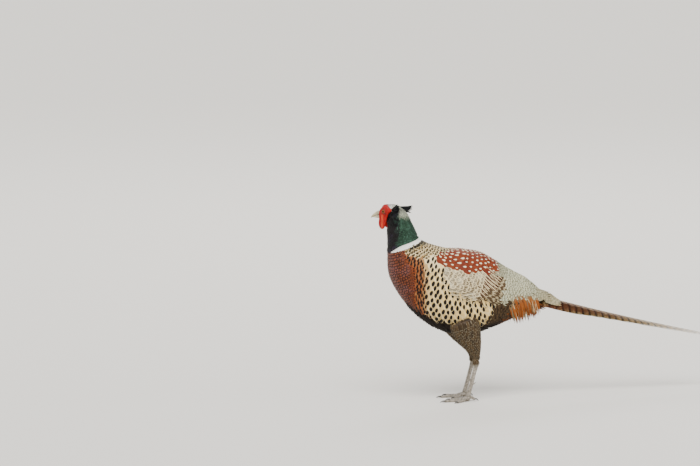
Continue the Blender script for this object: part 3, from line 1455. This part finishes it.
class PHEASANT_OT_tail(Operator):
    """Makes the long barred tail feathers in pairs"""

    bl_idname = "pheasant.tail"
    bl_label = "Tail feathers"

    def execute(self, context):
        sizes, colours = choices(context.scene)
        feathers = Feathers("tail_coat", sizes.seed - 5)
        form = {"thick": 0.8, "camber": 0.1, "ragged": 0.03, "hue": colours.tail, "size": 0.1}
        for pair, share in enumerate(TAIL_PAIRS):
            shares = np.linspace(0, 1, 34 - 2 * pair) ** 0.9
            widths = np.interp(shares, TAIL_FORM[:, 0], TAIL_FORM[:, 1])
            for side in SIDES.values():
                line, out, half = tail_line(pair, side, shares)
                across = unit(np.cross(np.gradient(line, axis=0), out))
                patch = np.array([[0.1 + 0.1 * pair, 0.25 + 0.5 * (side > 0)]])
                frames = (line[None], across[None], out[None])
                feathers.add(*frames, half, (shares, widths), share, patch, **form)
        finish = Finish("tail_plumage", 0.55, specular_ior_level=0.4)
        vane = Vane(finish)
        along = vane.v * vane.blend  # even steps on feathers of any length
        fringe = (vane.side + finish.noise(60.0) * 0.25).ramp(0.66, 0.98) * vane.v.ramp(0.95, 0.6)
        phase = along * 27.0 - vane.side * 0.28 + finish.noise(40.0) * 0.35
        bar = phase.wave().ramp(0.42, 0.72) * vane.side.ramp(1.0, 0.72)
        lines = (along * 260.0 - vane.side * 9.0).wave() * 0.5 + 0.5
        ground = finish.mix(finish.noise(220.0, 3.0).ramp(0.4, 0.75) * 0.45, colours.tail, colours.cream)
        ground = finish.mix(fringe * 0.9, ground, colours.tail_fringe)
        ground = finish.mix(bar * 0.92, ground, colours.black)
        ground = finish.mix(vane.shaft(0.05) * 0.7, ground, colours.maroon)
        finish.paint(finish.mix(lines * 0.16, ground, TAIL_SHADE))
        finish.bump(lines * 0.5 + vane.shaft(0.06), 0.0002)
        feathers.build(finish, "tail_plumage", "tail")
        return {"FINISHED"}


# Thighs and ear tufts


class PHEASANT_OT_thighs(Operator):
    """Covers the thighs down to the heel"""

    bl_idname = "pheasant.thighs"
    bl_label = "Thigh feathers"

    def execute(self, context):
        sizes, colours = choices(context.scene)
        finish, vane, ground = marked_finish("thigh_plumage", 0.8)
        textured(finish, vane, finish.mix(vane.edge(0.3) * 0.4, ground, colours.covert), 16.0, 0.3)
        for hand in SIDES:
            feathers = Feathers(f"thigh_coat_{hand}", sizes.seed - 3)
            roots = scatter(f"thigh_{hand}", self.spacing, feathers.draw, lambda p: p[:, 2] > HEEL)
            gap = self.spacing(roots)
            line, across, out = walk(roots, self.heading, 2.9 * gap, np.array(LANCE[0]), 0.2, 2.0)
            hue = mix(colours.belly, colours.flight, 0.3 + 0.7 * feathers.random(len(roots)))
            patch = np.stack([roots[:, 0] * 0.01, roots[:, 2] * 0.009], -1)
            feathers.add(line, across, out, 0.62 * gap, LANCE, 0.5, patch, hue=hue)
            self.cuff(feathers, vertices_of(frame["nodes"][f"shank_{hand}"].data) / MM, colours)
            feathers.build(finish, "thigh_plumage", f"thigh_{hand}")
        return {"FINISHED"}

    def spacing(self, points):
        return 2.6 + 2.4 * smooth((points[:, 2] - HEEL) / 50)

    def heading(self, points):
        return np.broadcast_to(unit(np.array(THIGH_WAY)), points.shape)

    def cuff(self, feathers, bone, colours):
        """Hangs the last feathers round the top of the shank, bent with the leg at the heel."""
        draw, count, share = feathers.draw, 110, np.array(LANCE[0])
        top = bone[bone[:, 2] > bone[:, 2].max() - 3]
        foot = bone[bone[:, 2] < bone[:, 2].min() + 6].mean(0)
        middle = top.mean(0)
        along = unit(foot - middle)
        turn = draw.uniform(0, 2 * math.pi, count)[:, None]
        reach = np.abs(top - middle).max(0) + 0.7 + draw.uniform(0, 0.5, (count, 1))
        fall = draw.uniform(12, 18, (count, 1)) * share - 9
        wide = np.interp(share, [0, 0.45, 1], [0.72, 1.2, 0.94])
        x = middle[0] + np.cos(turn) * reach[:, :1] * wide + np.where(fall > 0, along[0], THIGH_WAY[0]) * fall
        y = middle[1] + np.sin(turn) * reach[:, 1:2] * wide + along[1] * fall
        z = middle[2] + np.where(fall > 0, along[2], THIGH_WAY[2]) * fall
        line = np.stack([x, y, z], -1)
        out = np.stack([np.cos(turn), np.sin(turn), np.zeros((count, 1))], -1) * np.ones((1, len(share), 1))
        across = unit(np.cross(np.gradient(line, axis=1), out))
        hue = mix(colours.belly, colours.flight, 0.5 + 0.5 * draw.random(count))
        feathers.add(line, across, out, 1.5, LANCE, 0.5, draw.random((count, 2)), hue=hue)


class PHEASANT_OT_ear_tufts(Operator):
    """Makes the pair of black ear tufts as fans of narrow feathers"""

    bl_idname = "pheasant.ear_tufts"
    bl_label = "Ear tufts"

    def execute(self, context):
        sizes = context.scene.pheasant_sizes
        finish, vane, ground = marked_finish("tuft_black_plumage", 0.42)
        textured(finish, vane, ground, 16.0, 0.3)
        count, shares = 46, np.array(LANCE[0])
        for hand, side in SIDES.items():
            feathers = Feathers(f"ear_tuft_coat_{hand}", sizes.seed + 1)
            draw = feathers.draw
            behind, away, above = EAR_TUFTS[hand]
            reach = np.array((behind, side * away, above), float)
            along = unit(reach)
            flat = unit(np.cross(along, (0, 0, 1)))
            up = np.cross(flat, along)
            fan = np.radians(draw.uniform(-13, 15, count))[:, None]
            tilt = np.radians(draw.uniform(-9, 9, count))[:, None]
            way = unit(along * np.cos(fan) + up * np.sin(fan) + flat * np.sin(tilt))
            root = EAR_ROOT * (1, side, 1) - along * 3 + up * (fan * 9) + flat * (tilt * 8)
            length = np.linalg.norm(reach) * draw.uniform(0.78, 1.04, count) + 2
            line = root[:, None] + way[:, None] * (length[:, None] * shares)[..., None]
            line = line - up * (1.4 * np.sin(shares * math.pi))[None, :, None]
            ways = unit(np.gradient(line, axis=1))
            out = unit(flat - ways * (flat * ways).sum(-1, keepdims=True))
            out = out * side * np.sign(flat[1])
            line, ways, out = from_head(line), ways @ HEAD_AXES.T, out @ HEAD_AXES.T
            patch = draw.random((count, 2))
            feathers.add(line, np.cross(ways, out), out, 1.1, LANCE, 0.5, patch, hue=TUFT_BLACK)
            feathers.build(finish, "black_plumage", f"ear_tuft_{hand}")
        return {"FINISHED"}


# Face, eyes and bill


class PHEASANT_OT_wattles(Operator):
    """Shapes the red face skin on both sides, with its folds and small knobs"""

    bl_idname = "pheasant.wattles"
    bl_label = "Wattles"

    def execute(self, context):
        colours = context.scene.pheasant_colours
        soft = {"specular_ior_level": 0.2, "subsurface_weight": 0.08, "subsurface_scale": 0.002}
        finish = Finish("wattle_skin", 0.62, **soft)
        knobs = finish.cells(1000.0)
        ground = finish.mix(knobs.ramp(0.1, 0.8) * 0.55, colours.wattle, WATTLE_PIT)
        ground = finish.mix(finish.attribute("ridge") * 0.4, ground, WATTLE_RIDGE)
        finish.paint(finish.mix(finish.attribute("patch"), ground, WATTLE_PATCH))
        finish.bump(1 - knobs, 0.0006)
        spokes = WATTLE_SPOKES
        edge = wattle_edge(np.arange(spokes) / spokes)
        shares = np.linspace(0, 1, WATTLE_TURNS)
        for hand, side in SIDES.items():
            outer = [self.ring(edge, share, side, 1) for share in shares]
            inner = [self.ring(edge, share, side, -1) for share in shares[::-3]]
            rings = np.array(outer + inner)
            count = len(rings)
            r, k = np.meshgrid(np.arange(count), np.arange(spokes), indexing="ij")
            r2, k2 = (r + 1) % count, (k + 1) % spokes
            quads = np.stack([r * spokes + k, r * spokes + k2, r2 * spokes + k2, r2 * spokes + k], -1)
            quads = quads.reshape(-1, 4)
            if side < 0:
                quads = quads[:, ::-1]
            flat = rings.reshape(-1, 3)
            mesh = mesh_of(f"wattle_skin_{hand}", from_head(flat), quads)
            x, y, z = flat.T
            ridge = np.exp(-(((x - np.interp(z, *FOLD_LINE)) / 2.6) ** 2)) * smooth((-z - 3) / 6)
            add_trait(mesh, "ridge", ridge * (y * side > 0))
            # A dark patch behind and under the eye
            add_trait(mesh, "patch", np.exp(-(((x - 4.4) / 3.4) ** 2) - (((z + 4.6) / 1.8) ** 2)) * 0.9)
            place_piece(mesh, finish, "face_skin", f"wattle_{hand}")
        return {"FINISHED"}

    def ring(self, edge, share, side, face):
        """One ring of the skin, from the eye's round opening at 0 to the outline at 1."""
        away = np.linalg.norm(edge, axis=1)
        x, z = (edge / away[:, None] * (EYE_RADIUS - 0.3 + (away - EYE_RADIUS + 0.3) * share)[:, None]).T
        free = smooth((-z - 2) / 8)
        if face < 0:
            return np.stack([x, side * (face_width(x, z) - 1.0 + 0.7 * free * share**4), z], -1)
        rim = math.sqrt(max(0, 1 - share**3))
        full = 0.1 + (1.4 - 0.8 * share**6) * free + (2.7 - 1.2 * free) * rim
        fold = 1.1 * np.exp(-(((x - np.interp(z, *FOLD_LINE)) / 3.0) ** 2)) * smooth((-z - 4) / 6)
        middle = math.sin(share * math.pi)
        crease = 0.4 * np.sin(x * 0.9 + z * 0.35) * middle
        knob = 0.16 * np.sin(x * 5.1 + z * 1.7) * np.sin(z * 4.7 - x * 1.3) * middle
        return np.stack([x, side * (face_width(x, z) + full + fold + crease + knob), z], -1)


class PHEASANT_OT_eyes(Operator):
    """Sets the eyes and the ring of lid round each of them"""

    bl_idname = "pheasant.eyes"
    bl_label = "Eyes"

    def execute(self, context):
        colours = context.scene.pheasant_colours
        eye = Finish("eye", 0.12, specular_ior_level=0.15)
        ring = eye.attribute("ring")  # distance from the pupil's middle
        streaks = eye.noise(2200.0) * 0.3
        iris = eye.mix(ring.ramp(1.7, 3.2) + streaks * 0.3, colours.iris, IRIS_EDGE)
        iris = eye.mix(ring.ramp(3.1, 3.6), iris, IRIS_RIM)
        eye.paint(eye.mix(ring.ramp(2.15, 1.95), iris, PUPIL))
        lid = Finish("eyelid", 0.5)
        knobs = lid.cells(2400.0)
        lid.paint(lid.mix(knobs.ramp(0.1, 0.7), LID_PIT, LID_KNOB))
        lid.bump(knobs, 0.0003)
        for hand, side in SIDES.items():
            aside = Matrix.Rotation(math.radians(-90 * side), 3, "X")
            bpy.ops.object.select_all(action="DESELECT")
            bpy.ops.mesh.primitive_uv_sphere_add(segments=72, ring_count=48, radius=EYE_RADIUS)
            ball = primitive_at(f"eyeball_{hand}", head_place(0, side * EYE_SPREAD, 0, aside))
            local = to_head(vertices_of(ball.data) / MM)
            add_trait(ball.data, "ring", np.hypot(local[:, 0], local[:, 2]))
            settle(ball, eye, "eye", f"eye_{hand}")
            bpy.ops.object.select_all(action="DESELECT")
            bpy.ops.mesh.primitive_torus_add(
                major_segments=64, minor_segments=16, major_radius=4.1, minor_radius=0.8
            )
            rim = primitive_at(f"eyelid_{hand}", head_place(0, 0, 0, aside))
            local = to_head(vertices_of(rim.data) / MM)
            local[:, 1] += side * (face_width(local[:, 0], local[:, 2]) + 2.6)
            move_vertices(rim.data, from_head(local) * MM)
            settle(rim, lid, "face_skin")
        return {"FINISHED"}


class PHEASANT_OT_bill(Operator):
    """Rounds the two halves of the bill and gives them their horn"""

    bl_idname = "pheasant.bill"
    bl_label = "Bill"

    def execute(self, context):
        colours = context.scene.pheasant_colours
        horn = Finish("bill_horn", 0.36, coat_weight=0.15)
        along = horn.attribute("along")
        grain = horn.noise(260.0, 4.0)
        ground = horn.mix(grain.ramp(0.35, 0.75) * 0.4, colours.bill, BILL_GRAIN)
        ground = horn.mix(along.ramp(0.45, 0.0) * 0.5, ground, BILL_BASE)
        hole = horn.attribute("nostril").ramp(0.35, 0.6)
        horn.paint(horn.mix(hole * 0.9, ground, HORN_SHADE), 0.3 + 0.25 * grain)
        horn.bump((along * 40.0 + grain * 2).math("SINE") * 0.3 + grain, 0.00012)
        for half in ("upper", "lower"):
            piece = copy_nodes(f"beak_{half}", f"bill_{half}")
            remesh(piece, 0.00045, 10)
            local = to_head(vertices_of(piece.data) / MM)
            if half == "upper":
                gape = self.edge_of(local, -1)
            else:
                self.close(local, gape)
            local[:, 0] += 2.5 * smooth((local[:, 0] + 24) / 3)  # into the feathers at the base
            move_vertices(piece.data, from_head(local) * MM)
            x, z = local[:, 0], local[:, 2]
            nostril = np.exp(-(((x - NOSTRIL[0]) / 1.9) ** 2) - (((z - NOSTRIL[1]) / 0.75) ** 2))
            add_trait(piece.data, "nostril", nostril * (half == "upper"))
            add_trait(piece.data, "along", (-20 - x) / 26)
            settle(piece, horn, "bill_horn", f"bill_{half}")
        return {"FINISHED"}

    def edge_of(self, local, way):
        """The lowest (-1) or highest (1) height near the middle, by millimetre from base to tip."""
        inner = local[np.abs(local[:, 1]) < 1.6]
        steps = np.arange(-50, -15)
        found = [inner[np.abs(inner[:, 0] - x) < 0.8][:, 2] * way for x in steps]
        known = np.array([len(heights) > 0 for heights in found])
        return steps[known], np.array([heights.max() * way for heights in found if len(heights)])

    def close(self, local, gape):
        """Lifts the upper side of the lower half until it meets the upper half."""
        steps, top = self.edge_of(local, 1)
        gap = np.interp(local[:, 0], steps, np.maximum(np.interp(steps, *gape) - top - 0.05, 0))
        share = smooth((local[:, 2] - np.interp(local[:, 0], steps, top) + 3) / 2.5)
        local[:, 2] += gap * share


# Legs


class PHEASANT_OT_legs(Operator):
    """Rounds the shanks, toes and claws and cuts their scales"""

    bl_idname = "pheasant.legs"
    bl_label = "Shanks, feet and claws"

    def execute(self, context):
        colours = context.scene.pheasant_colours
        scaly = Finish("leg_scales", 0.48)
        plates = scaly.attribute("groove")
        cells = scaly.cells(620.0, "DISTANCE_TO_EDGE").ramp(0.0, 0.12)
        ground = scaly.mix(scaly.noise(300.0, 3.0).ramp(0.3, 0.75), colours.shank, SCALE_PALE)
        ground = scaly.mix((1 - cells) * 0.45, ground, SCALE_EDGE)
        scaly.paint(scaly.mix(plates * 0.7, ground, SCALE_GROOVE))
        scaly.bump(cells * 0.5 - plates, 0.0005)
        horn = Finish("claw_horn", 0.35)
        grain = horn.noise(500.0, 3.0)
        horn.paint(horn.mix(grain, colours.horn, HORN_SHADE))
        horn.bump(grain, 0.0001)
        for hand in SIDES:
            shank, points = self.rounded(f"shank_scales_{hand}", f"shank_{hand}", 6)
            low, high = self.corners(f"shank_{hand}")
            edge = np.interp(points[:, 2], [low[2], high[2]], [low[0] + 4, high[0] - 6])
            self.cut(shank, points[:, 2] / SHANK_PLATE, smooth((edge + 1 - points[:, 0]) / 2))
            settle(shank, scaly, "leg_scales", f"shank_{hand}")
            toes, points = self.rounded(f"toe_scales_{hand}", f"foot_{hand}", 5)
            low, high = self.corners(f"foot_{hand}")
            hub = np.array((high[0] - 21.0, (low[1] + high[1]) / 2))
            away = np.linalg.norm(points[:, :2] - hub, axis=1)
            self.cut(toes, away / TOE_PLATE, smooth((points[:, 2] - 2.2) / 1.5))
            settle(toes, scaly, "leg_scales", f"foot_{hand}")
            for toe in ("inner", "middle", "outer", "hind"):
                claw = copy_nodes(f"nail_{toe}_{hand}", f"claw_{toe}_{hand}")
                remesh(claw, 0.0003, 6)
                settle(claw, horn, "claw_horn", f"claw_{toe}_{hand}")
        return {"FINISHED"}

    def rounded(self, name, node, rounds):
        piece = copy_nodes(name, node)
        remesh(piece, 0.0008, rounds)
        return piece, vertices_of(piece.data) / MM

    def corners(self, node):
        return (np.array(corner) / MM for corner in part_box(node))

    def cut(self, piece, phase, share):
        """Sinks a groove between plates, where share is 1, and keeps it for the finish."""
        mesh = piece.data
        groove = np.exp(-(((phase % 1 - 0.5) / GROOVE_WIDTH) ** 2)) * share
        normals = np.empty(len(mesh.vertices) * 3, np.float32)
        mesh.vertices.foreach_get("normal", normals)
        points = vertices_of(mesh) - normals.reshape(-1, 3) * groove[:, None] * GROOVE_DEPTH
        points[:, 2] = np.maximum(points[:, 2], SOLE)
        add_trait(mesh, "groove", groove)
        move_vertices(mesh, points)


# Stage


class PHEASANT_OT_stage(Operator):
    """Sets the pale floor, the soft lights and the camera"""

    bl_idname = "pheasant.stage"
    bl_label = "Stage"

    def execute(self, context):
        colours = context.scene.pheasant_colours
        bpy.ops.object.select_all(action="DESELECT")
        bpy.ops.mesh.primitive_plane_add(size=90)
        floor = context.active_object
        floor.name = "floor"
        finish = Finish("floor", 0.85)
        finish.paint(finish.mix(finish.noise(3.0) * 0.06, colours.floor, FLOOR_SHADE))
        floor.data.materials.append(finish.material)
        floor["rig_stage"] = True
        world = bpy.data.worlds.new("studio")
        world.use_nodes = True
        sky = world.node_tree.nodes["Background"].inputs
        sky["Color"].default_value = SKY
        sky["Strength"].default_value = 0.92
        context.scene.world = world
        self.lamp("key", "SUN", (-1.5, -3.0, 4.0), 0.8, 4.8)
        self.lamp("fill", "AREA", (3.2, -2.2, 1.6), 2.4, 40)
        self.lamp("rim", "AREA", (1.2, 3.4, 3.0), 1.8, 60)
        azimuth, rise = math.radians(CAMERA_AZIMUTH), math.radians(CAMERA_RISE)
        back = Vector(
            (math.sin(azimuth) * math.cos(rise), -math.cos(azimuth) * math.cos(rise), math.sin(rise))
        )
        data = bpy.data.cameras.new("camera")
        data.lens = CAMERA_LENS
        data.clip_end = 200
        context.scene.camera = self.aim(data, Vector(CAMERA_AIM) + back * CAMERA_AWAY, -back)
        return {"FINISHED"}

    def lamp(self, name, kind, place, size, power):
        """One light. Its size is an angle in radians for the sun and metres for the others."""
        data = bpy.data.lights.new(name, kind)
        setattr(data, "angle" if kind == "SUN" else "size", size)
        data.energy = power
        self.aim(data, place, Vector(LAMP_AIM) - Vector(place))

    def aim(self, data, place, way):
        made = bpy.data.objects.new(data.name, data)
        made.location = place
        made.rotation_euler = way.to_track_quat("-Z", "Y").to_euler()
        bpy.context.scene.collection.objects.link(made)
        return made


PIECES = (
    PHEASANT_OT_skin,
    PHEASANT_OT_head_coat,
    PHEASANT_OT_neck_coat,
    PHEASANT_OT_mantle,
    PHEASANT_OT_breast,
    PHEASANT_OT_flanks,
    PHEASANT_OT_belly,
    PHEASANT_OT_scapulars,
    PHEASANT_OT_wings,
    PHEASANT_OT_rump,
    PHEASANT_OT_vent,
    PHEASANT_OT_tail,
    PHEASANT_OT_thighs,
    PHEASANT_OT_ear_tufts,
    PHEASANT_OT_wattles,
    PHEASANT_OT_eyes,
    PHEASANT_OT_bill,
    PHEASANT_OT_legs,
    PHEASANT_OT_tint_skin,
    PHEASANT_OT_stage,
)


class PHEASANT_PT_panel(Panel):
    """Lists the pieces of the pheasant and its sizes and colours"""

    bl_label = "Pheasant"
    bl_space_type = "VIEW_3D"
    bl_region_type = "UI"
    bl_category = "Pheasant"

    def draw(self, context):
        for piece in PIECES:
            self.layout.operator(piece.bl_idname)
        for group in (context.scene.pheasant_sizes, context.scene.pheasant_colours):
            for name in group.bl_rna.properties.keys():
                if name not in ("rna_type", "name"):
                    self.layout.prop(group, name)


CLASSES = (PheasantSizes, PheasantColours, *PIECES, PHEASANT_PT_panel)


def register():
    for kind in CLASSES:
        bpy.utils.register_class(kind)
    bpy.types.Scene.pheasant_sizes = PointerProperty(type=PheasantSizes)
    bpy.types.Scene.pheasant_colours = PointerProperty(type=PheasantColours)


def unregister():
    del bpy.types.Scene.pheasant_colours
    del bpy.types.Scene.pheasant_sizes
    for kind in reversed(CLASSES):
        bpy.utils.unregister_class(kind)


def main():
    register()
    for piece in PIECES:
        module, name = piece.bl_idname.split(".")
        getattr(getattr(bpy.ops, module), name)()
    boxes = {"cad": CAD_BOX, "visual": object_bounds()}
    {name: [list(corner) for corner in box] for name, box in boxes.items()}


if __name__ == "__main__":
    main()
